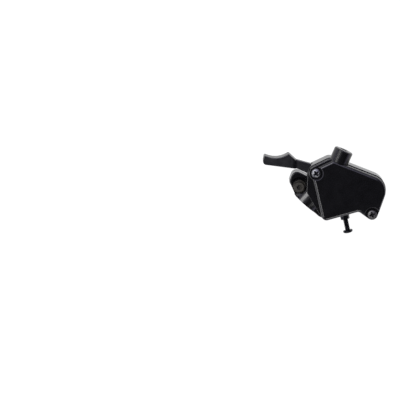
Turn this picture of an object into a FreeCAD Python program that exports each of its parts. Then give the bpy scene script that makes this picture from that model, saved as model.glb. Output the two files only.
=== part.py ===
import FreeCAD, Part
import math
import os

from FreeCAD import Vector

# Thumb throttle lever for a 22 mm handlebar: a cast case with a screwed cover holds a moulded thumb
# lever on a shoulder bolt. A torsion spring brings the lever back, a screw through the case limits its
# stroke, and a two-piece clamp holds the case on the bar. Millimetres throughout.
#
# Frame: the origin is on the handlebar's axis at the middle of the clamp. +X runs along the bar
# towards its outer end, and +Z is square to the cover. The case and the lever are drawn in the
# case's own plane (u, v), which starts at the lever's pivot axis, and are then set on the bar.
# Heights are measured along Z from the handlebar's axis in both.

# Handlebar clamp, drawn in the bar's frame
BAR_R = 11.1
BAR_IN_CASE = (-42.3, -11.0)
BAR_DIRECTION = 229.0
CLAMP_LENGTH = 24.0
CLAMP_WALL = 3.6
CLAMP_SPLIT = 1.6
CLAMP_BOLT_X = 2.4
CLAMP_BOLT_Y = 16.8
CLAMP_BOLT_R = 3.0
CLAMP_BOLT_LENGTH = 16.0
CLAMP_HEAD_R = 5.0
CLAMP_HEAD_H = 6.0
CLAMP_HEAD_EDGE = 0.5
CLAMP_KEY = 5.0
CLAMP_KEY_DEPTH = 3.0
CLAMP_WASHER_R = 6.6
CLAMP_WASHER_T = 1.0
SEAT_GAP = 0.3
EAR_HEIGHT = 10.8
EAR_SEAT = 4.8
EAR_POCKET_R = 9.6
EAR_EDGE_R = 1.4
POCKET_BEVEL = 0.8
EAR_ROUND_R = 6.0
EAR_SIDE_R = 3.4
EAR_REACH = 14.2
EAR_LEFT_IN = 3.9
EAR_SIDE_BACK = 2.0
EAR_SIDE_FLARE = 2.0
CLAMP_INSET = 0.6
CLAMP_END_R = 1.5
REAR_EAR_R = 8.5
CAP_EAR_T = 8.0

# Case: the rounds that its outline is drawn round, as (u, v, radius)
NOSE_SCREW_AT = (-41.2, 17.0)
NOSE_BOSS_R = 8.0
TAIL_SCREW_AT = (14.6, -24.2)
TAIL_BOSS_R = 6.3
CHEEK_AT = (-46.2, -2.5)
CHEEK_R = 3.8
NECK_DIRECTION = 233.8
NECK_R = 5.0
NECK_SLACK = 0.3
HEEL_AT = (-30.6, -25.5)
HEEL_R = 5.5
WAIST_AT = (0.5, -25.4)
WAIST_R = 3.0
TAIL_AT = (11.8, -0.9)
TAIL_R = 16.4
PEAK_AT = (-27.6, 25.8)
PEAK_R = 6.0
BODY_DEPTH = 20.2
CASE_WALL = 3.0
FLOOR_T = 3.0
BAR_GAP = 0.9
CASE_EDGE_R = 2.0
RIM_EDGE_R = 0.5
PIVOT_BOSS_R = 8.0
PIVOT_BOSS_H = 6.0

# Cover and its gasket
GASKET_T = 0.8
GASKET_INSET = 0.3
COVER_DEPTH = 9.0
COVER_TOP_T = 3.0
COVER_EDGE_R = 2.8
COVER_STEP = 0.8
FLANGE_T = 4.5
FLANGE_EDGE_R = 1.0
LEDGE_WIDTH = 2.6
DOME_NOSE_R = 3.8
DOME_PEAK_R = 3.8
NOSE_POCKET_R = 6.4
TAIL_POCKET_R = 7.2
SCREW_POCKET_BEVEL = 0.8
EYELET_R = 6.0

# Cover screws, M5 pan head with a cross recess
SCREW_R = 2.5
SCREW_LENGTH = 12.0
SCREW_HEAD_R = 4.6
SCREW_HEAD_H = 3.2
SCREW_TIP = 0.6
PAN_SIDE = 0.45
PAN_SHOULDER_OUT = 0.72
PAN_SHOULDER_UP = 0.86
SCREW_HOLE_SPARE = 0.5
CROSS_SPAN = 5.8
CROSS_WIDTH = 1.5
CROSS_DEPTH = 2.1
CROSS_FLOOR_SPAN = 2.6
CROSS_FLOOR_WIDTH = 1.05
CROSS_ABOVE = 0.1
THREAD_GAP = 0.05

# Lever: hub, arm, shank and thumb pad, as seen along the pivot
LEVER_T = 7.0
LEVER_EDGE_R = 0.8
LEVER_TRAVEL = 30.0
HUB_R = 7.5
HUB_HEIGHT = 14.0
SHOULDER_AT = (-51.3, 10.1)
SHOULDER_R = 15.0
HORN_FOOT_AT = (-59.2, 32.0)
HORN_FOOT_R = 4.0
HORN_AT = (-68.3, 33.0)
HORN_R = 1.4
THUMB_HOLLOW_R = 21.8
TIP_AT = (-91.3, 31.0)
TIP_R = 1.6
PAD_BASE_AT = (-89.8, 27.2)
PAD_BASE_R = 3.8
SHANK_BEND_AT = (-65.8, 0.1)
SHANK_BEND_R = 20.0
PAD_WIDTH = 16.0
PAD_START = -60.6
PAD_CORNER_R = 4.0
PAD_PLAN_SPARE = 2.0
PAD_PLAN_LOW = -20.0
PAD_PLAN_HIGH = 60.0
PAD_RIM = 2.2
PAD_WEB_T = 7.0
POCKET_FRONT_AT = (-67.0, 26.4)
POCKET_FRONT_R = 2.8
POCKET_BACK_AT = (-87.4, 27.0)
POCKET_BACK_R = 1.6
HOLLOW_SLACK = 0.1

# Cable: lug on the lever, boss on the case
LUG_AT = (-25.6, 11.9)
LUG_R = 5.5
NIPPLE_R = 3.1
NIPPLE_DEPTH = 8.5
CABLE_HEIGHT = 32.0
LUG_ABOVE_CABLE = 4.2
CABLE_SLOT_LEAD = 3.0
CABLE_SLOT_SPREAD = 36.0
CABLE_SLOT_GAP = 1.2
CABLE_BOSS_AT = (-13.6, 39.5)
CABLE_DIRECTION = 66.5
CABLE_BOSS_R = 9.5
CABLE_BOSS_EDGE = 1.0
CABLE_BOSS_REACH = 22.8
FERRULE_R = 4.1
FERRULE_DEPTH = 11.0
WIRE_R = 1.6
ARCH_GAP = 0.25
ARCH_FLARE = 2.0
ARCH_FLARE_DEPTH = 3.6

# Pivot: shoulder bolt, two flanged bushes, two thrust washers, nut and washer
PIVOT_R = 4.0
PIVOT_THREAD_R = 3.0
PIVOT_HEAD_FLATS = 11.0
PIVOT_HEAD_H = 3.8
BUSH_R = 5.0
BUSH_LENGTH = 6.0
BUSH_FLANGE_R = 7.0
BUSH_FLANGE_T = 1.0
THRUST_WASHER_R = 7.2
THRUST_WASHER_T = 0.6
RUNNING_GAP = 0.03
END_PLAY = 0.05
NUT_FLATS = 10.0
NUT_H = 5.0
NUT_WASHER_R = 6.0
NUT_WASHER_T = 1.2
BOLT_END = 1.0

# Torsion return spring
SPRING_WIRE_R = 0.8
SPRING_COIL_GAP = 0.9
SPRING_PITCH = 1.9
SPRING_FULL_TURNS = 3
SPRING_STEPS = 24
SPRING_SIDES = 8
SPRING_LIFT = 0.3
SPRING_HOOK_AT = 17.0
SPRING_HOOK_DIRECTION = 156.0
SPRING_HOOK_DEPTH = 3.2
SPRING_ANCHOR_ANGLE = 30.0
SPRING_ANCHOR_LEG = 13.0
SPRING_HOLE_GAP = 0.3
SPRING_POST_R = 3.0

# Bevel on the corners of the hexagons, in degrees from level
HEX_BEVEL = 30.0

# Stroke limiting screw, M5, with its lock nut
LIMITER_AT = (-11.1, -30.3)
LIMITER_DIRECTION = -77.5
LIMITER_LENGTH = 35.0
LIMITER_HEAD_R = 4.8
LIMITER_HEAD_H = 2.8
LIMITER_BOSS_R = 5.4
LIMITER_BOSS_LENGTH = 12.0
LIMITER_GAP = 0.3
NOSE_SCREW_TURN = 38.0
TAIL_SCREW_TURN = 15.0
LOCK_NUT_FLATS = 8.0
LOCK_NUT_H = 4.0

# Slot that the lever swings in
SLOT_SIDE_GAP = 0.8
SLOT_TOP_GAP = 0.95
SLOT_IN_R = 34.0
SLOT_OUT_R = 62.0

# Heights above the bar's axis, worked out from the sizes above
FLOOR_UNDER = BAR_R + BAR_GAP
FLOOR_TOP = FLOOR_UNDER + FLOOR_T
RIM = FLOOR_UNDER + BODY_DEPTH
COVER_UNDER = RIM + GASKET_T
COVER_TOP = COVER_UNDER + COVER_DEPTH
CEILING = COVER_TOP - COVER_TOP_T
FLANGE_TOP = COVER_UNDER + FLANGE_T
LEVER_UNDER = FLOOR_TOP + THRUST_WASHER_T + END_PLAY + BUSH_FLANGE_T
LEVER_TOP = LEVER_UNDER + LEVER_T
LEVER_MIDDLE = LEVER_UNDER + LEVER_T / 2
HUB_TOP = LEVER_UNDER + HUB_HEIGHT
LUG_TOP = CABLE_HEIGHT + LUG_ABOVE_CABLE
SLOT_TOP = LEVER_TOP + SLOT_TOP_GAP
SADDLE_R = BAR_R + CLAMP_WALL
SPRING_COIL_R = HUB_R + SPRING_COIL_GAP + SPRING_WIRE_R
SPRING_START = LEVER_TOP + SPRING_LIFT + SPRING_WIRE_R
UP = Vector(0, 0, 1)

# How far a cutting shape reaches past what it cuts
OVER = 1.0
# How near two places must be to count as one
TOUCH = 0.01


def heading(degrees):
    """Unit vector in the plane, at an angle from the first axis."""
    return Vector(math.cos(math.radians(degrees)), math.sin(math.radians(degrees)), 0)


def bearing(direction):
    """Angle of a direction from the first axis, in degrees."""
    return math.degrees(math.atan2(direction.y, direction.x))


def flat(at, height=0.0):
    """Point of a plane at a height."""
    return Vector(at[0], at[1], height)


def side_of(first, second):
    """Outward normal and offset of the straight side that touches two rounds in turn."""
    along = flat(second) - flat(first)
    distance = along.Length
    along = along * (1 / distance)
    lean = (first[2] - second[2]) / distance
    across = Vector(along.y, -along.x, 0)
    normal = along * lean + across * math.sqrt(1 - lean * lean)
    return normal, normal.dot(flat(first)) + first[2]


def belt(rounds, inset=0.0):
    """Closed wire of sides and arcs round a loop of rounds, counter-clockwise.

    A round is (u, v, radius). A negative radius is a hollow corner, which the wire turns round the
    other way. An inset moves the whole wire inwards.
    """
    placed = [(u, v, radius - inset) for u, v, radius in rounds]
    normals = []
    for number, first in enumerate(placed):
        second = placed[(number + 1) % len(placed)]
        normals.append(side_of(first, second)[0])
    edges = []
    for number, first in enumerate(placed):
        second = placed[(number + 1) % len(placed)]
        arrive = bearing(normals[number - 1])
        turn = (bearing(normals[number]) - arrive) % 360
        if first[2] < 0:
            turn -= 360
        centre = flat(first)
        leave = centre + normals[number] * first[2]
        points = [centre + heading(arrive + turn * share) * first[2] for share in (0, 0.5, 1)]
        edges.append(Part.Arc(*points).toShape())
        edges.append(Part.LineSegment(leave, flat(second) + normals[number] * second[2]).toShape())
    return Part.Wire(edges)


def prism(wire, low, high):
    """Upright solid on a plane outline, between two heights."""
    face = Part.Face(wire)
    face.translate(UP * low)
    return face.extrude(UP * (high - low))


def cylinder(at, radius, low, high):
    return Part.makeCylinder(radius, high - low, flat(at, low), UP)


def ring(at, outer, inner, low, high):
    return cylinder(at, outer, low, high).cut(cylinder(at, inner, low - OVER, high + OVER))


def mouth_bevel(at, radius, width, top):
    """Cone that turns off the mouth of a round pocket at a height."""
    return Part.makeCone(radius, radius + width, width, flat(at, top - width), UP)


def rod(start, direction, radius, length):
    return Part.makeCylinder(radius, length, start, direction)


def hexagon(centre, direction, flats, height, turn=0.0):
    """Hexagonal prism with its corners turned off on both ends, along a direction."""
    corner_r = flats / math.sqrt(3)
    corners = [Vector(corner_r * math.cos(math.radians(60 * k + turn)),
                      corner_r * math.sin(math.radians(60 * k + turn)), 0) for k in range(7)]
    block = Part.Face(Part.makePolygon(corners)).extrude(UP * height)
    lead = (corner_r - flats / 2) * math.tan(math.radians(HEX_BEVEL))
    profile = Part.makePolygon([Vector(0, 0, 0), Vector(flats / 2, 0, 0), Vector(corner_r, 0, lead),
                                Vector(corner_r, 0, height - lead), Vector(flats / 2, 0, height),
                                Vector(0, 0, height), Vector(0, 0, 0)])
    block = block.common(Part.Face(profile).revolve(Vector(0, 0, 0), UP, 360))
    block.Placement = FreeCAD.Placement(centre, FreeCAD.Rotation(UP, direction))
    return block


def pan_head(radius, height):
    """Domed screw head standing on the plane, as a turned profile."""
    side_h = PAN_SIDE * height
    shoulder = Vector(PAN_SHOULDER_OUT * radius, 0, PAN_SHOULDER_UP * height)
    crown = Part.Arc(Vector(radius, 0, side_h), shoulder, Vector(0, 0, height))
    edges = [Part.LineSegment(Vector(0, 0, 0), Vector(radius, 0, 0)).toShape(),
             Part.LineSegment(Vector(radius, 0, 0), Vector(radius, 0, side_h)).toShape(),
             crown.toShape(),
             Part.LineSegment(Vector(0, 0, height), Vector(0, 0, 0)).toShape()]
    return Part.Face(Part.Wire(edges)).revolve(Vector(0, 0, 0), UP, 360)


def cross_recess(top):
    """Cross-shaped pocket whose two slots taper towards their floor."""
    cut = None
    for turn in (0, 90):
        low = Part.makePlane(CROSS_FLOOR_SPAN, CROSS_FLOOR_WIDTH,
                             Vector(-CROSS_FLOOR_SPAN / 2, -CROSS_FLOOR_WIDTH / 2, top - CROSS_DEPTH))
        high = Part.makePlane(CROSS_SPAN, CROSS_WIDTH,
                              Vector(-CROSS_SPAN / 2, -CROSS_WIDTH / 2, top + CROSS_ABOVE))
        slot = Part.makeLoft([low.OuterWire, high.OuterWire], True, True)
        slot.rotate(Vector(0, 0, 0), UP, turn)
        cut = slot if cut is None else cut.fuse(slot)
    return cut


def pan_screw(radius, length, head_r, head_h):
    """Cross-recess screw with its head's underside at the origin and its shank below."""
    head = pan_head(head_r, head_h)
    shank = Part.makeCylinder(radius, length, Vector(0, 0, -length), UP)
    tip = Part.makeCone(radius - SCREW_TIP, radius, SCREW_TIP, Vector(0, 0, -length), UP)
    shank = shank.cut(Part.makeCylinder(radius, SCREW_TIP, Vector(0, 0, -length), UP)).fuse(tip)
    return head.fuse(shank).cut(cross_recess(head_h)).removeSplitter()


def fillet_where(shape, radius, keep):
    """Round off the edges that a test picks."""
    return shape.makeFillet(radius, [edge for edge in shape.Edges if keep(edge)])


def lies_at(height):
    """Test that picks the edges lying level at a height."""
    def keep(edge):
        box = edge.BoundBox
        return abs(box.ZMin - height) < TOUCH and abs(box.ZMax - height) < TOUCH
    return keep


def on_bar(shape):
    """Moves a solid from the case's frame to the bar's."""
    placed = shape.copy()
    placed.translate(Vector(-BAR_IN_CASE[0], -BAR_IN_CASE[1], 0))
    placed.rotate(Vector(0, 0, 0), UP, -BAR_DIRECTION)
    return placed


def neck_round():
    """Hollow corner of the cover's outline, below the nose screw."""
    reach = NOSE_BOSS_R + NECK_R + NECK_SLACK
    centre = flat(NOSE_SCREW_AT) + heading(NECK_DIRECTION) * reach
    return (centre.x, centre.y, -NECK_R)


def cover_rounds():
    return [(*NOSE_SCREW_AT, NOSE_BOSS_R), neck_round(), (*HEEL_AT, HEEL_R), (*WAIST_AT, -WAIST_R),
            (*TAIL_SCREW_AT, TAIL_BOSS_R), (*TAIL_AT, TAIL_R), (*PEAK_AT, PEAK_R)]


def body_rounds():
    """Outline of the body, which bulges beside the lever's slot where the cover draws in."""
    rounds = cover_rounds()
    rounds[1] = (*CHEEK_AT, CHEEK_R)
    return rounds


def corner_round(first_side, second_side, radius):
    """Round that touches two sides, each a normal and an offset."""
    first_normal, first_offset = first_side
    second_normal, second_offset = second_side
    a = first_offset - radius
    b = second_offset - radius
    turn = first_normal.x * second_normal.y - first_normal.y * second_normal.x
    u = (a * second_normal.y - b * first_normal.y) / turn
    v = (b * first_normal.x - a * second_normal.x) / turn
    return (u, v, radius)


def dome_rounds():
    """Outline of the cover's raised face: flush all round but for a ledge along the nose side."""
    nose, neck, heel, waist, tail_screw, tail, peak = cover_rounds()
    ledge_normal, ledge_offset = side_of(peak, nose)
    ledge = (ledge_normal, ledge_offset - LEDGE_WIDTH)
    nose = corner_round(ledge, side_of(neck, heel), DOME_NOSE_R)
    peak = corner_round(side_of(tail, peak), ledge, DOME_PEAK_R)
    return [nose, heel, waist, tail_screw, tail, peak]


def hollow_round():
    """Hollow of the thumb pad: the round that touches the horn's and the tip's."""
    start = flat(HORN_AT)
    across = flat(TIP_AT) - start
    distance = across.Length
    along = across * (1 / distance)
    to_horn = THUMB_HOLLOW_R + HORN_R + HOLLOW_SLACK
    to_tip = THUMB_HOLLOW_R + TIP_R + HOLLOW_SLACK
    run = (to_horn ** 2 - to_tip ** 2 + distance ** 2) / (2 * distance)
    rise = math.sqrt(to_horn ** 2 - run ** 2)
    centre = start + along * run + Vector(along.y, -along.x, 0) * rise
    return (centre.x, centre.y, -THUMB_HOLLOW_R)


def lever_rounds():
    return [(0, 0, HUB_R), (*SHOULDER_AT, SHOULDER_R), (*HORN_FOOT_AT, -HORN_FOOT_R), (*HORN_AT, HORN_R),
            hollow_round(), (*TIP_AT, TIP_R), (*PAD_BASE_AT, PAD_BASE_R), (*SHANK_BEND_AT, -SHANK_BEND_R)]


def cable_axis(back):
    """Point of the cable's line, a distance back from the mouth of its boss."""
    return flat(CABLE_BOSS_AT, CABLE_HEIGHT) - heading(CABLE_DIRECTION) * back


def thumb_pad():
    """Wide thumb part: the lever's outline cut to a rounded plan, with a pocket in its rear side."""
    low = LEVER_MIDDLE - PAD_WIDTH / 2
    high = LEVER_MIDDLE + PAD_WIDTH / 2
    block = prism(belt(lever_rounds()), low, high)
    block = fillet_where(block, LEVER_EDGE_R, lies_at(low))
    block = fillet_where(block, LEVER_EDGE_R, lies_at(high))
    inner = PAD_CORNER_R
    outer_end = PAD_BASE_AT[0] - PAD_BASE_R - PAD_PLAN_SPARE
    plan = belt([(outer_end, low + inner, inner), (PAD_START - inner, low + inner, inner),
                 (PAD_START - inner, high - inner, inner), (outer_end, high - inner, inner)])
    slab = Part.Face(plan).extrude(UP * (PAD_PLAN_HIGH - PAD_PLAN_LOW))
    slab.rotate(Vector(0, 0, 0), Vector(1, 0, 0), 90)
    slab.translate(Vector(0, PAD_PLAN_HIGH, 0))
    pad = block.common(slab)
    hollow = hollow_round()
    pocket = belt([(*POCKET_FRONT_AT, POCKET_FRONT_R), (hollow[0], hollow[1], hollow[2] - PAD_RIM),
                   (*POCKET_BACK_AT, POCKET_BACK_R)])
    web_low = LEVER_MIDDLE - PAD_WEB_T / 2
    return pad.cut(prism(pocket, low - OVER, web_low))


def spring_hook_point():
    return heading(SPRING_HOOK_DIRECTION) * SPRING_HOOK_AT


def thumb_lever():
    lever = prism(belt(lever_rounds()), LEVER_UNDER, LEVER_TOP)
    lever = fillet_where(lever, LEVER_EDGE_R, lies_at(LEVER_UNDER))
    lever = fillet_where(lever, LEVER_EDGE_R, lies_at(LEVER_TOP))
    lever = lever.fuse([thumb_pad(), cylinder((0, 0), HUB_R, LEVER_UNDER, HUB_TOP),
                        cylinder(LUG_AT, LUG_R, LEVER_UNDER, LUG_TOP)])
    lever = lever.removeSplitter()
    lever = lever.cut(cylinder((0, 0), BUSH_R, LEVER_UNDER - OVER, HUB_TOP + OVER))
    lever = lever.cut(cylinder(LUG_AT, NIPPLE_R, LUG_TOP - NIPPLE_DEPTH, LUG_TOP + OVER))
    reach = heading(CABLE_DIRECTION + CABLE_SLOT_LEAD) * (3 * LUG_R)
    far_reach = heading(CABLE_DIRECTION - CABLE_SLOT_SPREAD) * (3 * LUG_R)
    lug = flat(LUG_AT)
    slot = Part.makePolygon([lug, lug + far_reach, lug + reach, lug])
    lever = lever.cut(prism(slot, CABLE_HEIGHT - CABLE_SLOT_GAP, LUG_TOP + OVER))
    hook = spring_hook_point()
    hook_hole = cylinder(hook, SPRING_WIRE_R + SPRING_HOLE_GAP, LEVER_UNDER - OVER, LEVER_TOP + OVER)
    return lever.cut(hook_hole)


def bush(flange_low, sleeve_low):
    """Flanged bush; its flange and its sleeve start at two heights."""
    flange = cylinder((0, 0), BUSH_FLANGE_R, flange_low, flange_low + BUSH_FLANGE_T)
    sleeve = cylinder((0, 0), BUSH_R, sleeve_low, sleeve_low + BUSH_LENGTH)
    bore = cylinder((0, 0), PIVOT_R + RUNNING_GAP, FLOOR_UNDER, COVER_TOP)
    return flange.fuse(sleeve).cut(bore).removeSplitter()


def pivot_bolt():
    head_under = HUB_TOP + BUSH_FLANGE_T + END_PLAY + THRUST_WASHER_T
    thread_end = FLOOR_UNDER - PIVOT_BOSS_H - NUT_WASHER_T - NUT_H - BOLT_END
    head = hexagon(Vector(0, 0, head_under), UP, PIVOT_HEAD_FLATS, PIVOT_HEAD_H)
    shoulder = cylinder((0, 0), PIVOT_R, FLOOR_TOP, head_under)
    thread = cylinder((0, 0), PIVOT_THREAD_R, thread_end, FLOOR_TOP)
    return head.fuse([shoulder, thread]).removeSplitter()


def spring_ends():
    """Angles at which the coil meets its two legs."""
    start = SPRING_HOOK_DIRECTION - math.degrees(math.acos(SPRING_COIL_R / SPRING_HOOK_AT))
    turns = SPRING_FULL_TURNS + (start - SPRING_ANCHOR_ANGLE) / 360
    return start, turns


def spring_anchor_point():
    """Where the upper leg ends, over the post of the case."""
    along = heading(SPRING_ANCHOR_ANGLE - 90)
    return heading(SPRING_ANCHOR_ANGLE) * SPRING_COIL_R + along * SPRING_ANCHOR_LEG


def spring_top():
    return SPRING_START + SPRING_PITCH * spring_ends()[1]


def spring_path():
    """Corner points of the spring's wire, from the hook in the lever to the hook in the case's post."""
    start, turns = spring_ends()
    hook_depth = UP * (SPRING_LIFT + SPRING_WIRE_R + SPRING_HOOK_DEPTH)
    lower_end = spring_hook_point() + UP * SPRING_START
    upper_end = spring_anchor_point() + UP * spring_top()
    steps = round(turns * SPRING_STEPS)
    points = [lower_end - hook_depth, lower_end]
    for step in range(steps + 1):
        share = step / steps
        around = heading(start - 360 * turns * share) * SPRING_COIL_R
        points.append(around + UP * (SPRING_START + SPRING_PITCH * turns * share))
    return points + [upper_end, upper_end - hook_depth]


def mitred_wire(points, radius, sides):
    """Many-sided wire along straight runs, with flat faces that meet on the planes halfway at each corner."""
    runs = [(second - first).normalize() for first, second in zip(points, points[1:])]
    side = runs[0].cross(runs[1]).normalize()
    turns = [FreeCAD.Rotation(runs[0], 360 * (k + 0.5) / sides) for k in range(sides)]
    rings = [[points[0] + turn.multVec(side) * radius for turn in turns]]
    for number, run in enumerate(runs):
        after = runs[min(number + 1, len(runs) - 1)]
        mitre = (run + after).normalize()
        corner = points[number + 1]
        rings.append([at + run * ((corner - at).dot(mitre) / run.dot(mitre)) for at in rings[-1]])
    faces = [Part.Face(Part.makePolygon(ring + ring[:1])) for ring in (rings[0], rings[-1])]
    for near, far in zip(rings, rings[1:]):
        for k in range(sides):
            corners = [near[k - 1], near[k], far[k], far[k - 1], near[k - 1]]
            faces.append(Part.Face(Part.makePolygon(corners)))
    shell = Part.makeShell(faces)
    shell.sewShape()
    wire = Part.makeSolid(shell)
    return wire if wire.Volume > 0 else wire.reversed()


def return_spring():
    """Coil wound clockwise upwards, with a leg hooked in the lever and one in the case's post."""
    return mitred_wire(spring_path(), SPRING_WIRE_R, SPRING_SIDES)


def limiter_tip_back():
    """How far the screw's tip lies back from the nut, so that it stops the lever at full travel."""
    flank = side_of(lever_rounds()[-1], lever_rounds()[0])[0]
    turned = FreeCAD.Rotation(UP, LEVER_TRAVEL).multVec(flank)
    axis = heading(LIMITER_DIRECTION)
    slant = math.sqrt(1 - turned.dot(axis) ** 2)
    clear = HUB_R + LIMITER_GAP + SCREW_R * slant
    return (turned.dot(flat(LIMITER_AT)) - clear) / turned.dot(axis)


def limiter_point(out):
    """Point of the limiter's axis, a distance out from the middle of its nut."""
    return flat(LIMITER_AT, LEVER_MIDDLE) + heading(LIMITER_DIRECTION) * out


def limiter_screw():
    screw = pan_screw(SCREW_R, LIMITER_LENGTH, LIMITER_HEAD_R, LIMITER_HEAD_H)
    head_at = limiter_point(LIMITER_LENGTH - limiter_tip_back())
    screw.Placement = FreeCAD.Placement(head_at, FreeCAD.Rotation(UP, heading(LIMITER_DIRECTION)))
    return screw


def limiter_lock_nut():
    nut = hexagon(limiter_point(-LOCK_NUT_H / 2), heading(LIMITER_DIRECTION), LOCK_NUT_FLATS, LOCK_NUT_H)
    hole = rod(limiter_point(-LOCK_NUT_H), heading(LIMITER_DIRECTION), SCREW_R + THREAD_GAP, 2 * LOCK_NUT_H)
    return nut.cut(hole)


def lever_slot():
    """Room that the lever's arm sweeps past the case's wall, with side and top clearance."""
    rounds = lever_rounds()
    upper = side_of(rounds[0], rounds[1])[0]
    lower = side_of(rounds[-1], rounds[0])[0]
    lower = FreeCAD.Rotation(UP, LEVER_TRAVEL).multVec(lower)
    upper_start = upper * (HUB_R + SLOT_SIDE_GAP)
    lower_start = lower * (HUB_R + SLOT_SIDE_GAP)
    upper_end = upper_start + heading(bearing(upper) + 90) * SLOT_OUT_R
    lower_end = lower_start + heading(bearing(lower) - 90) * SLOT_OUT_R
    far_end = upper_end + lower_end
    fan = Part.makePolygon([upper_start, upper_end, far_end, lower_end, lower_start, upper_start])
    swept = prism(fan, FLOOR_TOP, SLOT_TOP).common(cylinder((0, 0), SLOT_OUT_R, FLOOR_TOP, SLOT_TOP))
    return swept.cut(cylinder((0, 0), SLOT_IN_R, FLOOR_TOP - OVER, SLOT_TOP + OVER))


def clamp_footprint():
    """Outline of the clamp and its ears seen along Z, in the bar's frame."""
    half = CLAMP_LENGTH / 2
    front = -CLAMP_BOLT_Y - EAR_REACH
    ear_left = CLAMP_BOLT_X - EAR_POCKET_R + EAR_LEFT_IN
    return [(ear_left, front + EAR_ROUND_R, EAR_ROUND_R),
            (CLAMP_BOLT_X, front + EAR_SIDE_R + EAR_SIDE_BACK, EAR_SIDE_R),
            (half - CLAMP_END_R, -SADDLE_R + EAR_SIDE_FLARE, CLAMP_END_R),
            (half - REAR_EAR_R, CLAMP_BOLT_Y, REAR_EAR_R),
            (REAR_EAR_R - half, CLAMP_BOLT_Y, REAR_EAR_R),
            (CLAMP_END_R - half, -SADDLE_R, CLAMP_END_R)]


def along_bar(radius, length):
    """Round bar on the handlebar's axis, centred on the clamp."""
    return rod(Vector(-length / 2, 0, 0), Vector(1, 0, 0), radius, length)


def upper_clamp():
    """The body's half of the clamp: saddle, open ear with its bolt pocket, and ear under the case."""
    low = CLAMP_SPLIT / 2
    plate = prism(belt(clamp_footprint()), low, EAR_HEIGHT)
    plate = fillet_where(plate, EAR_EDGE_R, lies_at(EAR_HEIGHT))
    pocket = cylinder((CLAMP_BOLT_X, -CLAMP_BOLT_Y), EAR_POCKET_R, EAR_SEAT, EAR_HEIGHT + OVER)
    bevel = mouth_bevel((CLAMP_BOLT_X, -CLAMP_BOLT_Y), EAR_POCKET_R, POCKET_BEVEL, EAR_HEIGHT)
    plate = plate.cut(pocket).cut(bevel)
    under_case = on_bar(prism(belt(body_rounds(), CLAMP_INSET), 0, FLOOR_UNDER + OVER))
    block = prism(belt(clamp_footprint(), CLAMP_INSET), low, FLOOR_UNDER + OVER).common(under_case)
    saddle = along_bar(SADDLE_R, CLAMP_LENGTH)
    upper_half = Part.makeBox(CLAMP_LENGTH, 2 * SADDLE_R, SADDLE_R, Vector(-CLAMP_LENGTH / 2, -SADDLE_R, low))
    return plate.fuse([block, saddle.common(upper_half)])


def cut_clamp_holes(body):
    """Bar bore, bolt holes and head seat of the body's half of the clamp."""
    body = body.cut(along_bar(BAR_R, 3 * CLAMP_LENGTH))
    hole_r = CLAMP_BOLT_R + THREAD_GAP
    front = (CLAMP_BOLT_X, -CLAMP_BOLT_Y)
    rear = (CLAMP_BOLT_X, CLAMP_BOLT_Y)
    body = body.cut(cylinder(front, hole_r, 0, EAR_SEAT + OVER))
    body = body.cut(cylinder(front, CLAMP_WASHER_R + SEAT_GAP, EAR_SEAT, SADDLE_R + OVER))
    return body.cut(cylinder(rear, hole_r, 0, rear_bolt_top() + OVER))


def rear_bolt_top():
    """Height that the rear bolt's tip reaches inside the body."""
    return CLAMP_BOLT_LENGTH - CLAMP_WASHER_T - CLAMP_SPLIT / 2 - CAP_EAR_T


def boss_length():
    """How far back from its mouth the boss's axis meets the case's side."""
    normal, offset = side_of((*TAIL_AT, TAIL_R), (*PEAK_AT, PEAK_R))
    return (normal.dot(flat(CABLE_BOSS_AT)) - offset) / normal.dot(heading(CABLE_DIRECTION))


def cable_boss():
    """Boss for the cable, from its mouth to inside the case, with a turned-off lip."""
    back = heading(CABLE_DIRECTION) * -1
    boss = rod(cable_axis(0), back, CABLE_BOSS_R, CABLE_BOSS_REACH)
    lip = [edge for edge in boss.Edges if (edge.BoundBox.Center - cable_axis(0)).Length < TOUCH]
    return boss.makeChamfer(CABLE_BOSS_EDGE, lip)


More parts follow.
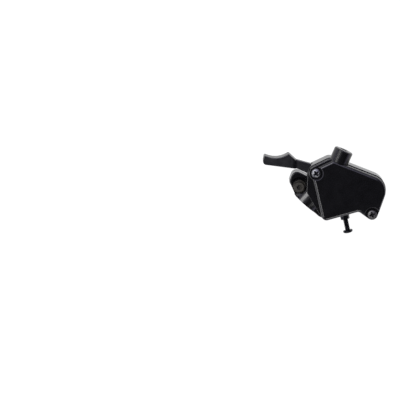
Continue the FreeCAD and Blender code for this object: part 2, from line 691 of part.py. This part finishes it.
def housing_body():
    outline = belt(body_rounds())
    shell = prism(outline, FLOOR_UNDER, RIM)
    shell = fillet_where(shell, CASE_EDGE_R, lies_at(FLOOR_UNDER))
    shell = fillet_where(shell, RIM_EDGE_R, lies_at(RIM))
    cavity = prism(belt(cover_rounds(), CASE_WALL), FLOOR_TOP, COVER_TOP + OVER)
    limiter_boss = rod(limiter_point(-LOCK_NUT_H / 2), heading(LIMITER_DIRECTION) * -1,
                       LIMITER_BOSS_R, LIMITER_BOSS_LENGTH)
    shell = shell.fuse([cable_boss(), limiter_boss]).cut(cavity)
    inside = fillet_where(prism(outline, FLOOR_TOP, RIM), RIM_EDGE_R, lies_at(RIM))
    nose_boss = cylinder(NOSE_SCREW_AT, NOSE_BOSS_R, SLOT_TOP, RIM).common(inside)
    tail_boss = cylinder(TAIL_SCREW_AT, TAIL_BOSS_R, FLOOR_TOP, RIM).common(inside)
    anchor = spring_anchor_point()
    post_top = spring_top() - SPRING_WIRE_R - SPRING_LIFT
    post = cylinder((anchor.x, anchor.y), SPRING_POST_R, FLOOR_TOP, post_top)
    pivot_boss = cylinder((0, 0), PIVOT_BOSS_R, FLOOR_UNDER - PIVOT_BOSS_H, FLOOR_UNDER)
    body = shell.fuse([nose_boss, tail_boss, post, pivot_boss]).removeSplitter()
    body = body.cut(lever_slot())
    hole_floor = FLANGE_TOP - SCREW_LENGTH - SCREW_HOLE_SPARE
    for at in (NOSE_SCREW_AT, TAIL_SCREW_AT):
        body = body.cut(cylinder(at, SCREW_R + THREAD_GAP, hole_floor, RIM + OVER))
    body = body.cut(cylinder((0, 0), PIVOT_THREAD_R + THREAD_GAP, 0, FLOOR_TOP + OVER))
    body = body.cut(cylinder((anchor.x, anchor.y), SPRING_WIRE_R + SPRING_HOLE_GAP, FLOOR_TOP + OVER, RIM))
    body = body.cut(rod(limiter_point(0), heading(LIMITER_DIRECTION) * -1, SCREW_R + THREAD_GAP,
                        LIMITER_BOSS_LENGTH + OVER))
    body = body.cut(rod(cable_axis(0), heading(CABLE_DIRECTION) * -1, FERRULE_R, FERRULE_DEPTH))
    body = body.cut(rod(cable_axis(0), heading(CABLE_DIRECTION) * -1, WIRE_R, 2 * FERRULE_DEPTH))
    body = on_bar(body).fuse(upper_clamp())
    return cut_clamp_holes(body).removeSplitter()


def housing_cover():
    flange = prism(belt(cover_rounds(), COVER_STEP), COVER_UNDER, FLANGE_TOP)
    flange = fillet_where(flange, FLANGE_EDGE_R, lies_at(FLANGE_TOP))
    flange = fillet_where(flange, RIM_EDGE_R, lies_at(COVER_UNDER))
    dome = prism(belt(dome_rounds(), COVER_STEP), COVER_UNDER + OVER, COVER_TOP)
    dome = fillet_where(dome, COVER_EDGE_R, lies_at(COVER_TOP))
    cover = flange.fuse(dome)
    for at, radius in ((NOSE_SCREW_AT, NOSE_POCKET_R), (TAIL_SCREW_AT, TAIL_POCKET_R)):
        cover = cover.cut(cylinder(at, radius, FLANGE_TOP, COVER_TOP + OVER))
        cover = cover.cut(mouth_bevel(at, radius, SCREW_POCKET_BEVEL, COVER_TOP))
    cavity = prism(belt(dome_rounds(), CASE_WALL), COVER_UNDER, CEILING)
    for at, radius in ((NOSE_SCREW_AT, NOSE_POCKET_R), (TAIL_SCREW_AT, TAIL_POCKET_R)):
        cavity = cavity.cut(cylinder(at, radius + COVER_TOP_T / 2, COVER_UNDER - OVER, CEILING + OVER))
    cover = cover.cut(cavity)
    for at in (NOSE_SCREW_AT, TAIL_SCREW_AT):
        cover = cover.cut(cylinder(at, SCREW_R + THREAD_GAP, COVER_UNDER - OVER, COVER_TOP))
    arch = rod(cable_axis(-1), heading(CABLE_DIRECTION) * -1, CABLE_BOSS_R + ARCH_GAP, CABLE_BOSS_REACH)
    arch = arch.cut(prism(belt(cover_rounds(), CASE_WALL), FLOOR_TOP, COVER_TOP))
    flare = Part.makeCone(CABLE_BOSS_R + ARCH_GAP + ARCH_FLARE, CABLE_BOSS_R + ARCH_GAP, ARCH_FLARE_DEPTH,
                          cable_axis(boss_length() - OVER), heading(CABLE_DIRECTION) * -1)
    return cover.cut(arch).cut(flare).removeSplitter()


def cover_gasket():
    """Flat gasket: a rim as wide as the case's wall, with an eyelet at each screw."""
    outer = prism(belt(cover_rounds(), COVER_STEP + GASKET_INSET), RIM, COVER_UNDER)
    window = prism(belt(cover_rounds(), CASE_WALL - GASKET_INSET), RIM - OVER, COVER_UNDER + OVER)
    for at in (NOSE_SCREW_AT, TAIL_SCREW_AT):
        window = window.cut(cylinder(at, EYELET_R, RIM - OVER, COVER_UNDER + OVER))
    gasket = outer.cut(window)
    for at in (NOSE_SCREW_AT, TAIL_SCREW_AT):
        gasket = gasket.cut(cylinder(at, SCREW_R + THREAD_GAP, RIM - OVER, COVER_UNDER + OVER))
    arch = rod(cable_axis(0), heading(CABLE_DIRECTION) * -1, CABLE_BOSS_R + ARCH_GAP, CABLE_BOSS_REACH)
    return gasket.cut(arch)


def cover_screw(at, turn):
    screw = pan_screw(SCREW_R, SCREW_LENGTH, SCREW_HEAD_R, SCREW_HEAD_H)
    screw.rotate(Vector(0, 0, 0), UP, turn)
    screw.translate(flat(at, FLANGE_TOP))
    return screw


def clamp_cap():
    """Lower half of the clamp, with the same outline as the body's."""
    high = -CLAMP_SPLIT / 2
    plate = prism(belt(clamp_footprint()), high - CAP_EAR_T, high)
    plate = fillet_where(plate, EAR_EDGE_R, lies_at(high - CAP_EAR_T))
    lower_half = Part.makeBox(CLAMP_LENGTH, 2 * SADDLE_R, SADDLE_R,
                              Vector(-CLAMP_LENGTH / 2, -SADDLE_R, high - SADDLE_R))
    cap = plate.fuse(along_bar(SADDLE_R, CLAMP_LENGTH).common(lower_half))
    cap = cap.cut(along_bar(BAR_R, 3 * CLAMP_LENGTH))
    for side in (-1, 1):
        cap = cap.cut(cylinder((CLAMP_BOLT_X, side * CLAMP_BOLT_Y), CLAMP_BOLT_R + THREAD_GAP,
                               high - CAP_EAR_T - OVER, high + OVER))
    bolt_at = (CLAMP_BOLT_X, CLAMP_BOLT_Y)
    seat = cylinder(bolt_at, CLAMP_WASHER_R + SEAT_GAP, -SADDLE_R - OVER, high - CAP_EAR_T)
    return cap.cut(seat).removeSplitter()


def clamp_bolt():
    """Socket head bolt with its head's underside at the origin and its shank below."""
    head = Part.makeCylinder(CLAMP_HEAD_R, CLAMP_HEAD_H, Vector(0, 0, 0), UP)
    head = head.makeChamfer(CLAMP_HEAD_EDGE, [edge for edge in head.Edges if lies_at(CLAMP_HEAD_H)(edge)])
    socket = hexagon(Vector(0, 0, CLAMP_HEAD_H - CLAMP_KEY_DEPTH), UP, CLAMP_KEY, CLAMP_HEAD_H)
    shank = Part.makeCylinder(CLAMP_BOLT_R, CLAMP_BOLT_LENGTH, Vector(0, 0, -CLAMP_BOLT_LENGTH), UP)
    return head.fuse(shank).cut(socket).removeSplitter()


def front_clamp_bolt():
    bolt = clamp_bolt()
    bolt.translate(Vector(CLAMP_BOLT_X, -CLAMP_BOLT_Y, EAR_SEAT + CLAMP_WASHER_T))
    return bolt


def rear_clamp_bolt():
    bolt = clamp_bolt()
    bolt.rotate(Vector(0, 0, 0), Vector(1, 0, 0), 180)
    under = -CLAMP_SPLIT / 2 - CAP_EAR_T - CLAMP_WASHER_T
    bolt.translate(Vector(CLAMP_BOLT_X, CLAMP_BOLT_Y, under))
    return bolt


def clamp_washer(side, low):
    at = (CLAMP_BOLT_X, side * CLAMP_BOLT_Y)
    return ring(at, CLAMP_WASHER_R, CLAMP_BOLT_R + THREAD_GAP, low, low + CLAMP_WASHER_T)


def case_pieces():
    """Pieces drawn in the case's frame."""
    upper_washer = HUB_TOP + BUSH_FLANGE_T + END_PLAY
    nut_seat = FLOOR_UNDER - PIVOT_BOSS_H
    nut_top = nut_seat - NUT_WASHER_T
    pivot_nut = hexagon(Vector(0, 0, nut_top - NUT_H), UP, NUT_FLATS, NUT_H)
    thread_hole = cylinder((0, 0), PIVOT_THREAD_R + THREAD_GAP, nut_top - NUT_H - OVER, nut_top + OVER)
    return {
        "housing_cover": housing_cover(),
        "cover_gasket": cover_gasket(),
        "nose_cover_screw": cover_screw(NOSE_SCREW_AT, NOSE_SCREW_TURN),
        "tail_cover_screw": cover_screw(TAIL_SCREW_AT, TAIL_SCREW_TURN),
        "thumb_lever": thumb_lever(),
        "lower_bush": bush(LEVER_UNDER - BUSH_FLANGE_T, LEVER_UNDER),
        "upper_bush": bush(HUB_TOP, HUB_TOP - BUSH_LENGTH),
        "lower_thrust_washer": ring((0, 0), THRUST_WASHER_R, PIVOT_R + THREAD_GAP, FLOOR_TOP,
                                    FLOOR_TOP + THRUST_WASHER_T),
        "upper_thrust_washer": ring((0, 0), THRUST_WASHER_R, PIVOT_R + THREAD_GAP, upper_washer,
                                    upper_washer + THRUST_WASHER_T),
        "pivot_bolt": pivot_bolt(),
        "pivot_nut": pivot_nut.cut(thread_hole),
        "pivot_nut_washer": ring((0, 0), NUT_WASHER_R, PIVOT_THREAD_R + THREAD_GAP, nut_top, nut_seat),
        "return_spring": return_spring(),
        "limiter_screw": limiter_screw(),
        "limiter_lock_nut": limiter_lock_nut(),
    }


def bar_pieces():
    """Pieces drawn in the bar's frame."""
    rear_washer = -CLAMP_SPLIT / 2 - CAP_EAR_T - CLAMP_WASHER_T
    return {
        "housing_body": housing_body(),
        "clamp_cap": clamp_cap(),
        "front_clamp_bolt": front_clamp_bolt(),
        "rear_clamp_bolt": rear_clamp_bolt(),
        "front_clamp_washer": clamp_washer(-1, EAR_SEAT),
        "rear_clamp_washer": clamp_washer(1, rear_washer),
    }


os.makedirs("parts", exist_ok=True)
pieces = {name: on_bar(shape) for name, shape in case_pieces().items()}
pieces.update(bar_pieces())
for name, shape in pieces.items():
    shape.exportStep(f"parts/{name}.step")
    print(f"{name}: {len(shape.Solids)} solid, {shape.Volume:.0f} mm3, valid {shape.isValid()}")
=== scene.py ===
"""Looks of a thumb throttle lever: materials, threaded screws, light and camera."""

import math

import bpy
import numpy as np
from mathutils import Matrix, Vector


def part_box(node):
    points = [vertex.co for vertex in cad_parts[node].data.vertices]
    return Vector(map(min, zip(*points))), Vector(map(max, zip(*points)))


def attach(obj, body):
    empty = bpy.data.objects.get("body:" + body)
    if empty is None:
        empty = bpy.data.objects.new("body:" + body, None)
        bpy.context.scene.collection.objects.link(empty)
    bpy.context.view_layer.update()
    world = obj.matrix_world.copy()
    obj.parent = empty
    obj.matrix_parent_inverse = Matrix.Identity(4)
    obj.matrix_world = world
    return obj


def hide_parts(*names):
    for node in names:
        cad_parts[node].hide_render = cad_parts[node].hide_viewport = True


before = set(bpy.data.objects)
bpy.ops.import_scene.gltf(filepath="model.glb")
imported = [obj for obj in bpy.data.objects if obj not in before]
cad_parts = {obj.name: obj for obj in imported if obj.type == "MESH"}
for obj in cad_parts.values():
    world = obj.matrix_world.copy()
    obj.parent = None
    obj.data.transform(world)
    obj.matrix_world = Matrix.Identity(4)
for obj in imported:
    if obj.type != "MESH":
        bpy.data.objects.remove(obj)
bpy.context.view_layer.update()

MM = 0.001

# Rows and columns of the screws' surfaces, and the shape of their tips, heads and recesses
AROUND = 72
THREAD_ROWS = 10
SIDE_ROWS = 5
DOME_ROWS = 44
SCREW_BEVEL = 0.6
HEAD_SIDE = 0.42
RECESS_EDGE = 0.09
# RECESS_SHARE: how much of a face must lie in the recess for it to take the painted shade
RECESS_SHARE = 0.8

# Where a thread's flank starts and ends, as shares of half a pitch
GROOVE_FROM = 0.12
GROOVE_TO = 0.88

# How much a head narrows up its side
HEAD_DRAFT = 0.02

# A recess's width in its middle, and the shares of width and depth that it loses towards its rim
RECESS_MIDDLE = 1.15
RECESS_NARROWS = 0.3
FLOOR_RISE = 0.6

# A screw whose direction rises by less than this lies across
UPRIGHT = 0.5

# Screws in millimetres: shank radius, length, pitch, groove, head radius and height, recess span, width, depth
COVER_SCREW = (2.5, 12.0, 0.8, 0.42, 4.6, 3.2, 5.8, 1.7, 2.1)
LIMITER_SCREW = (2.5, 35.0, 0.8, 0.42, 4.8, 2.8, 5.8, 1.5, 2.0)

# Places of the heads' undersides in millimetres, turns in radians and the limiter screw's way out
NOSE_SCREW = (-21.854, -17.539)
TAIL_SCREW = (-27.368, 51.603)
SCREW_SEAT = 37.5
NOSE_SPIN = -0.19
TAIL_SPIN = -0.59
LIMITER_SPIN = 0.4
LIMITER_HEAD = (2.293, 47.285, 20.15)
LIMITER_OUT = (0.59482, 0.80386, 0.0)

# The photograph's view: the camera's place, its axes and its focal length, fitted to the part's points
CAMERA_AT = Vector((-0.1665, -0.2397, 1.5773))
CAMERA_BACK = Vector((-0.1535, -0.0980, 0.9833))
CAMERA_UP = Vector((-0.7409, -0.6470, -0.1802))
FOCAL_PX = 1579.8
FRAME_PX = 400.0
SENSOR_MM = 36.0
SEEN_TO = 20.0

# Directions of the photograph on the floor, for placing the lamps
PHOTO_RIGHT = Vector((-0.656, 0.755, 0.0))
PHOTO_UP = Vector((-0.755, -0.656, 0.0))
MIDDLE = Vector((-0.023, -0.004, 0.02))

# The room's light: strengths near the horizon and overhead, and a pale patch towards the photograph's top
HORIZON = 1.2
HORIZON_TOP = 0.2
DARK_FROM = 0.5
OVERHEAD = 0.01
PALE_PATCH = 3.0
PATCH_LIFT = math.radians(55)
PATCH_EDGE = 0.85
PATCH_FULL = 0.978

# How much of the table's white is its own glow; the rest is lit by the lamps and keeps the part's shadow
TABLE_GLOW = 0.9
TABLE_STRENGTH = 1.08
TABLE_HALF = 4.0

# Lamps: places to the right, up and above in the photograph's directions, size in metres, power in watts
LAMPS = (
    ("key lamp", -0.5, 0.45, 0.65, 0.45, 6),
    ("left lamp", -0.7, -0.2, 0.8, 0.45, 4.5),
    ("front lamp", 0.15, -0.7, 0.7, 0.4, 2.5),
)

# Noise lies mostly in this range
NOISE_LOW = 0.3
NOISE_HIGH = 0.7


def linear(code):
    """Linear colour of an sRGB hex code: the lower part of the curve is a line, the rest a power."""
    parts = np.array([int(code[i:i + 2], 16) for i in (1, 3, 5)]) / 255
    out = np.where(parts <= 0.04045, parts / 12.92, ((parts + 0.055) / 1.055) ** 2.4)
    return (*out.tolist(), 1.0)


def add(tree, kind, inputs=None, **settings):
    """Adds a node with its settings, and gives each named input a value or a link."""
    made = tree.nodes.new(kind)
    for name, value in settings.items():
        setattr(made, name, value)
    for name, value in (inputs or {}).items():
        if isinstance(value, bpy.types.NodeSocket):
            tree.links.new(value, made.inputs[name])
        else:
            made.inputs[name].default_value = value
    return made


def new_material(name):
    made = bpy.data.materials.new(name)
    made.use_nodes = True
    made.node_tree.nodes.clear()
    return made, made.node_tree


def blend_colour(tree, share, low, high):
    """Colour that goes from one hex code to another with a share."""
    return add(tree, "ShaderNodeMix", {0: share, 6: linear(low), 7: linear(high)}, data_type="RGBA").outputs[2]


def finish_surface(tree, colour, roughness, bump_height, bump_mm, strength, **sockets):
    """Principled surface with a colour, a roughness and a bump of a height in millimetres."""
    bump = add(tree, "ShaderNodeBump", {"Height": bump_height, "Distance": bump_mm * MM, "Strength": strength})
    shader = add(tree, "ShaderNodeBsdfPrincipled",
                 {"Base Color": colour, "Roughness": roughness, "Normal": bump.outputs[0], **sockets})
    tree.links.new(shader.outputs[0], add(tree, "ShaderNodeOutputMaterial").inputs[0])


def grain(tree, size_mm, detail=2.0, stretch=(1, 1, 1)):
    """Noise in the piece's own place, with a grain of a size in millimetres."""
    place = add(tree, "ShaderNodeTexCoord").outputs["Object"]
    scaled = add(tree, "ShaderNodeMapping", {"Vector": place, "Scale": stretch}).outputs[0]
    scale = 1 / (size_mm * MM)
    return add(tree, "ShaderNodeTexNoise", {"Vector": scaled, "Scale": scale, "Detail": detail}).outputs[0]


def spread(tree, value, low, high):
    """Turns a noise's middle range into a range of values."""
    return add(tree, "ShaderNodeMapRange", {"Value": value, "From Min": NOISE_LOW, "From Max": NOISE_HIGH,
                                            "To Min": low, "To Max": high}).outputs[0]


def painted_die_casting():
    """Black baked enamel on a die casting: semi-gloss, with the fine orange peel of sprayed paint."""
    made, tree = new_material("baked enamel on die casting")
    cloud = grain(tree, 9.0)
    peel = grain(tree, 0.9, 3.0)
    colour = blend_colour(tree, cloud, "#060607", "#08080a")
    rough = spread(tree, cloud, 0.23, 0.26)
    finish_surface(tree, colour, rough, peel, 0.03, 0.35, **{"IOR": 1.5})
    return made


def moulded_nylon():
    """Black nylon moulded in a fine spark-eroded tool: satin, with a soft even grain."""
    made, tree = new_material("moulded nylon")
    cloud = grain(tree, 7.0)
    fine = grain(tree, 0.35, 2.0)
    colour = blend_colour(tree, cloud, "#0b0b0d", "#111113")
    rough = spread(tree, cloud, 0.3, 0.38)
    finish_surface(tree, colour, rough, fine, 0.02, 0.4, **{"IOR": 1.53})
    return made


def plated_steel(name, low, high, rough_low, rough_high):
    """Plated, oxidised or drawn steel, also the painted shade in screw recesses: metal in two near tones, with
    faint clouds and fine turning marks.
    """
    made, tree = new_material(name)
    cloud = grain(tree, 1.6, 3.0)
    marks = grain(tree, 0.25, 2.0, (1, 1, 6))
    colour = blend_colour(tree, cloud, low, high)
    rough = spread(tree, cloud, rough_low, rough_high)
    finish_surface(tree, colour, rough, marks, 0.01, 0.3, **{"Metallic": 1.0})
    return made


def phosphated_steel():
    """Oiled phosphate on the clamp's bolts and washers: warm dark grey, matt, with a crystalline speckle."""
    made, tree = new_material("oiled phosphate on steel")
    speckle = grain(tree, 0.3, 3.0)
    colour = blend_colour(tree, speckle, "#25231e", "#35322b")
    finish_surface(tree, colour, spread(tree, speckle, 0.45, 0.6), speckle, 0.01, 0.3, **{"Metallic": 0.3})
    return made


def sintered_bronze():
    """Oil-filled bronze pressed from powder: dull gold brown with a pitted grain."""
    made, tree = new_material("sintered bronze")
    pits = grain(tree, 0.3, 3.0)
    colour = blend_colour(tree, pits, "#8a6a3c", "#b08b55")
    finish_surface(tree, colour, spread(tree, pits, 0.35, 0.5), pits, 0.02, 0.4, **{"Metallic": 1.0})
    return made


def cut_gasket_sheet():
    """Dark fibre gasket cut from sheet: matt, with a fibrous speckle."""
    made, tree = new_material("cut gasket sheet")
    fibre = grain(tree, 0.4, 4.0)
    colour = blend_colour(tree, fibre, "#0c0c0d", "#1c1c1e")
    finish_surface(tree, colour, spread(tree, fibre, 0.7, 0.85), fibre, 0.04, 0.5, **{"IOR": 1.45})
    return made


ENAMEL = painted_die_casting()
NYLON = moulded_nylon()
BRIGHT_ZINC = plated_steel("bright zinc plate", "#636467", "#7b7c7f", 0.38, 0.48)
DULL_ZINC = plated_steel("dull zinc plate", "#4c4b4a", "#656463", 0.46, 0.56)
BLACK_OXIDE = plated_steel("black oxide on steel", "#1c1d20", "#2b2c30", 0.34, 0.46)
# Darker steel on the faces inside a screw's cross recess: painted shade where the recess lies in shadow
RECESS_PAINTED_SHADE = plated_steel("painted shade in a screw's recess", "#101012", "#1a1a1c", 0.5, 0.6)
PHOSPHATE = phosphated_steel()
SPRING_WIRE = plated_steel("drawn spring wire", "#6f7175", "#97999c", 0.25, 0.35)
BRONZE = sintered_bronze()
GASKET = cut_gasket_sheet()

FINISHES = {
    "housing_body": ENAMEL,
    "housing_cover": ENAMEL,
    "clamp_cap": ENAMEL,
    "thumb_lever": NYLON,
    "cover_gasket": GASKET,
    "nose_cover_screw": BRIGHT_ZINC,
    "tail_cover_screw": DULL_ZINC,
    "pivot_bolt": DULL_ZINC,
    "pivot_nut": DULL_ZINC,
    "pivot_nut_washer": DULL_ZINC,
    "lower_thrust_washer": DULL_ZINC,
    "upper_thrust_washer": DULL_ZINC,
    "front_clamp_washer": PHOSPHATE,
    "rear_clamp_washer": PHOSPHATE,
    "limiter_screw": BLACK_OXIDE,
    "limiter_lock_nut": BLACK_OXIDE,
    "front_clamp_bolt": PHOSPHATE,
    "rear_clamp_bolt": PHOSPHATE,
    "lower_bush": BRONZE,
    "upper_bush": BRONZE,
    "return_spring": SPRING_WIRE,
}


def new_piece(name, points, faces, material):
    """Mesh piece at the origin from points in metres and faces as rows of point numbers."""
    mesh = bpy.data.meshes.new(name)
    mesh.from_pydata(points.reshape(-1, 3).tolist(), [], faces)
    mesh.materials.append(material)
    mesh.shade_smooth()
    piece = bpy.data.objects.new(name, mesh)
    bpy.context.scene.collection.objects.link(piece)
    return piece


def grid_faces(rows, columns):
    """Quads of a grid of points that closes on itself across, with its first and last rows closed by a face."""
    row, column = np.meshgrid(np.arange(rows - 1), np.arange(columns), indexing="ij")
    after = (column + 1) % columns
    quads = np.stack([row * columns + column, row * columns + after,
                      (row + 1) * columns + after, (row + 1) * columns + column], axis=-1)
    first = list(range(columns))[::-1]
    last = [(rows - 1) * columns + k for k in range(columns)]
    return quads.reshape(-1, 4).tolist() + [first, last]


def smooth_step(value, low, high):
    """Share that rises smoothly from 0 to 1 between two values."""
    share = np.clip((value - low) / (high - low), 0, 1)
    return share * share * (3 - 2 * share)


def shank_profile(radius, length, pitch, depth):
    """Threaded shank, from its tip to the head's underside.

    The height runs along the shank, and the radius is the outer radius less a V-shaped groove. The
    groove's place turns with the angle, one pitch a turn, and the tip's bevel cuts it off.
    """
    height = np.linspace(-length, 0, int(length / pitch * THREAD_ROWS))[:, None]
    turn = np.arange(AROUND)[None, :] / AROUND
    wave = np.abs(((height / pitch - turn) % 1) * 2 - 1)
    groove = depth * smooth_step(wave, GROOVE_FROM, GROOVE_TO)
    bevel = np.clip(SCREW_BEVEL - (height + length), 0, SCREW_BEVEL)
    return np.minimum(radius - groove, radius - bevel), height + 0 * turn


def head_profile(radius, height, span, width, depth):
    """Pan head with a cross recess: a flat underside, a round side and a low dome.

    The first rows run up the side, which narrows a little. The dome's rows run in to the middle on a
    quarter of an ellipse. Where a row lies in the cross, it sinks by the recess's depth, which is
    greatest in the middle.
    """
    climb = np.linspace(0, 1, SIDE_ROWS)[:, None]
    turn = np.linspace(0, 2 * np.pi, AROUND, endpoint=False)[None, :]
    side_r = radius * (1 - HEAD_DRAFT * climb) + 0 * turn
    side_h = HEAD_SIDE * height * climb + 0 * turn
    reach = np.cos(np.linspace(0, np.pi / 2, DOME_ROWS, endpoint=False))[:, None] * (1 - HEAD_DRAFT)
    dome_r = radius * reach + 0 * turn
    dome_h = height * (HEAD_SIDE + (1 - HEAD_SIDE) * np.sqrt(1 - reach ** 2)) + 0 * turn
    across = np.minimum(np.abs(dome_r * np.sin(turn)), np.abs(dome_r * np.cos(turn)))
    narrow = width / 2 * (RECESS_MIDDLE - RECESS_NARROWS * dome_r / (span / 2))
    in_cross = 1 - smooth_step(across, narrow - RECESS_EDGE, narrow + RECESS_EDGE)
    in_cross = in_cross * (1 - smooth_step(dome_r, span / 2 - RECESS_EDGE, span / 2 + RECESS_EDGE))
    floor = depth * (1 - FLOOR_RISE * dome_r / (span / 2))
    sunk = dome_h - in_cross * np.clip(floor, 0, depth)
    in_recess = np.vstack([0 * side_r, in_cross])
    return np.vstack([side_r, dome_r]), np.vstack([side_h, sunk]), in_recess


def cross_screw(name, at, out, spin, sizes, material):
    """Pan head screw with a rolled thread and a cross recess painted in shade, from its head's underside and
    direction.
    """
    shank_r, length, pitch, groove, head_r, head_h, span, width, depth = sizes
    shank = shank_profile(shank_r, length, pitch, groove)
    head = head_profile(head_r, head_h, span, width, depth)
    radius = np.vstack([shank[0], head[0]])
    height = np.vstack([shank[1], head[1]])
    turn = np.linspace(0, 2 * np.pi, AROUND, endpoint=False)[None, :] + spin
    out = np.array(out)
    side = np.cross(out, (0, 0, 1)) if abs(out[2]) < UPRIGHT else np.array((1.0, 0, 0))
    up = np.cross(out, side)
    points = np.array(at) + (height[..., None] * out + (radius * np.cos(turn))[..., None] * side
                             + (radius * np.sin(turn))[..., None] * up)
    piece = new_piece(name, points * MM, grid_faces(*radius.shape), material)
    # The faces deep in the cross recess take the darker steel: painted shade in the recess
    piece.data.materials.append(RECESS_PAINTED_SHADE)
    in_recess = np.vstack([0 * shank[0], head[2]])
    inner = (in_recess[:-1] + in_recess[1:] > RECESS_SHARE).astype(int).ravel()
    # The two closing faces are the shank's tip and the middle of the recess, which takes the painted shade too
    slots = np.concatenate([inner, [0, 1]])
    piece.data.polygons.foreach_set("material_index", slots)
    return piece


def dress_nodes():
    """Gives each node of the fixed frame the material of its real finish."""
    for name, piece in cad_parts.items():
        piece.data.materials.clear()
        piece.data.materials.append(FINISHES[name])


def make_floor():
    """Plain white table that reaches past every view, with the part's soft shadow on it."""
    low = min(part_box(name)[0].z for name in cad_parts)
    mesh = bpy.data.meshes.new("floor")
    half = TABLE_HALF
    corners = [(-half, -half, low), (half, -half, low), (half, half, low), (-half, half, low)]
    mesh.from_pydata(corners, [], [(0, 1, 2, 3)])
    floor = bpy.data.objects.new("floor", mesh)
    bpy.context.scene.collection.objects.link(floor)
    made, tree = new_material("white table")
    ray = add(tree, "ShaderNodeLightPath")
    mirrored = add(tree, "ShaderNodeMath",
                   {0: ray.outputs["Is Glossy Ray"], 1: ray.outputs["Is Transmission Ray"]},
                   operation="MAXIMUM").outputs[0]
    seen = add(tree, "ShaderNodeMath", {0: ray.outputs["Is Camera Ray"], 1: mirrored},
               operation="MAXIMUM").outputs[0]
    share = add(tree, "ShaderNodeMath", {0: seen, 1: TABLE_GLOW}, operation="MULTIPLY").outputs[0]
    paper = add(tree, "ShaderNodeBsdfDiffuse", {"Color": linear("#f6f6f6")}).outputs[0]
    glow = add(tree, "ShaderNodeEmission", {"Color": (1, 1, 1, 1), "Strength": TABLE_STRENGTH}).outputs[0]
    both = add(tree, "ShaderNodeMixShader", {0: share, 1: paper, 2: glow}).outputs[0]
    tree.links.new(both, add(tree, "ShaderNodeOutputMaterial").inputs[0])
    mesh.materials.append(made)


def make_world():
    """Soft room, pale near the horizon and in a patch above it, dark overhead; the camera sees plain white."""
    world = bpy.data.worlds.new("studio")
    bpy.context.scene.world = world
    world.use_nodes = True
    tree = world.node_tree
    tree.nodes.clear()
    direction = add(tree, "ShaderNodeTexCoord").outputs["Generated"]
    height = add(tree, "ShaderNodeSeparateXYZ", {0: direction}).outputs[2]
    room = add(tree, "ShaderNodeMapRange", {"Value": height, "From Min": HORIZON_TOP, "From Max": DARK_FROM,
                                            "To Min": HORIZON, "To Max": OVERHEAD}).outputs[0]
    toward = PHOTO_UP * math.cos(PATCH_LIFT) + Vector((0, 0, math.sin(PATCH_LIFT)))
    near = add(tree, "ShaderNodeVectorMath", {0: direction, 1: toward}, operation="DOT_PRODUCT").outputs[1]
    patch = add(tree, "ShaderNodeMapRange", {"Value": near, "From Min": PATCH_EDGE, "From Max": PATCH_FULL,
                                             "To Min": 0.0, "To Max": PALE_PATCH},
                interpolation_type="SMOOTHSTEP").outputs[0]
    both = add(tree, "ShaderNodeMath", {0: room, 1: patch}, operation="ADD").outputs[0]
    ray = add(tree, "ShaderNodeLightPath").outputs["Is Camera Ray"]
    light = add(tree, "ShaderNodeBackground", {"Color": linear("#d6d2f0"), "Strength": both}).outputs[0]
    white = add(tree, "ShaderNodeBackground", {"Color": (1, 1, 1, 1), "Strength": 1.0}).outputs[0]
    sky = add(tree, "ShaderNodeMixShader", {0: ray, 1: light, 2: white}).outputs[0]
    tree.links.new(sky, add(tree, "ShaderNodeOutputWorld").inputs[0])


def make_lamp(name, right, up, height, size, power):
    """Square soft lamp placed along the photograph's directions and turned to the part, in metres and watts."""
    light = bpy.data.lights.new(name, "AREA")
    light.energy = power
    light.size = size
    lamp = bpy.data.objects.new(name, light)
    at = MIDDLE + PHOTO_RIGHT * right + PHOTO_UP * up + Vector((0, 0, height))
    lamp.matrix_world = Matrix.Translation(at) @ (at - MIDDLE).to_track_quat("Z", "Y").to_matrix().to_4x4()
    bpy.context.scene.collection.objects.link(lamp)


def make_camera():
    """Camera at the photograph's angle, from its back and up directions."""
    data = bpy.data.cameras.new("camera")
    data.sensor_width = SENSOR_MM
    data.lens = FOCAL_PX / FRAME_PX * SENSOR_MM
    data.clip_end = SEEN_TO
    camera = bpy.data.objects.new("camera", data)
    back = CAMERA_BACK.normalized()
    right = CAMERA_UP.cross(back).normalized()
    up = back.cross(right)
    turn = Matrix((right, up, back)).transposed()
    camera.matrix_world = Matrix.Translation(CAMERA_AT) @ turn.to_4x4()
    bpy.context.scene.collection.objects.link(camera)
    bpy.context.scene.camera = camera


SCREWS = (
    ("nose_cover_screw", "housing", (*NOSE_SCREW, SCREW_SEAT), (0, 0, 1), NOSE_SPIN, COVER_SCREW, BRIGHT_ZINC),
    ("tail_cover_screw", "housing", (*TAIL_SCREW, SCREW_SEAT), (0, 0, 1), TAIL_SPIN, COVER_SCREW, DULL_ZINC),
    ("limiter_screw", "limiter", LIMITER_HEAD, LIMITER_OUT, LIMITER_SPIN, LIMITER_SCREW, BLACK_OXIDE),
)


def make_screws():
    """Cover screws and limiter screw with true threads and recesses, in place of the plain CAD ones."""
    for node, body, at, out, spin, sizes, material in SCREWS:
        piece = cross_screw(node + "_threaded", at, out, spin, sizes, material)
        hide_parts(node)
        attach(piece, body)


make_camera()
dress_nodes()
make_screws()
make_floor()
make_world()
for lamp in LAMPS:
    make_lamp(*lamp)

bpy.context.scene.view_settings.view_transform = "Standard"
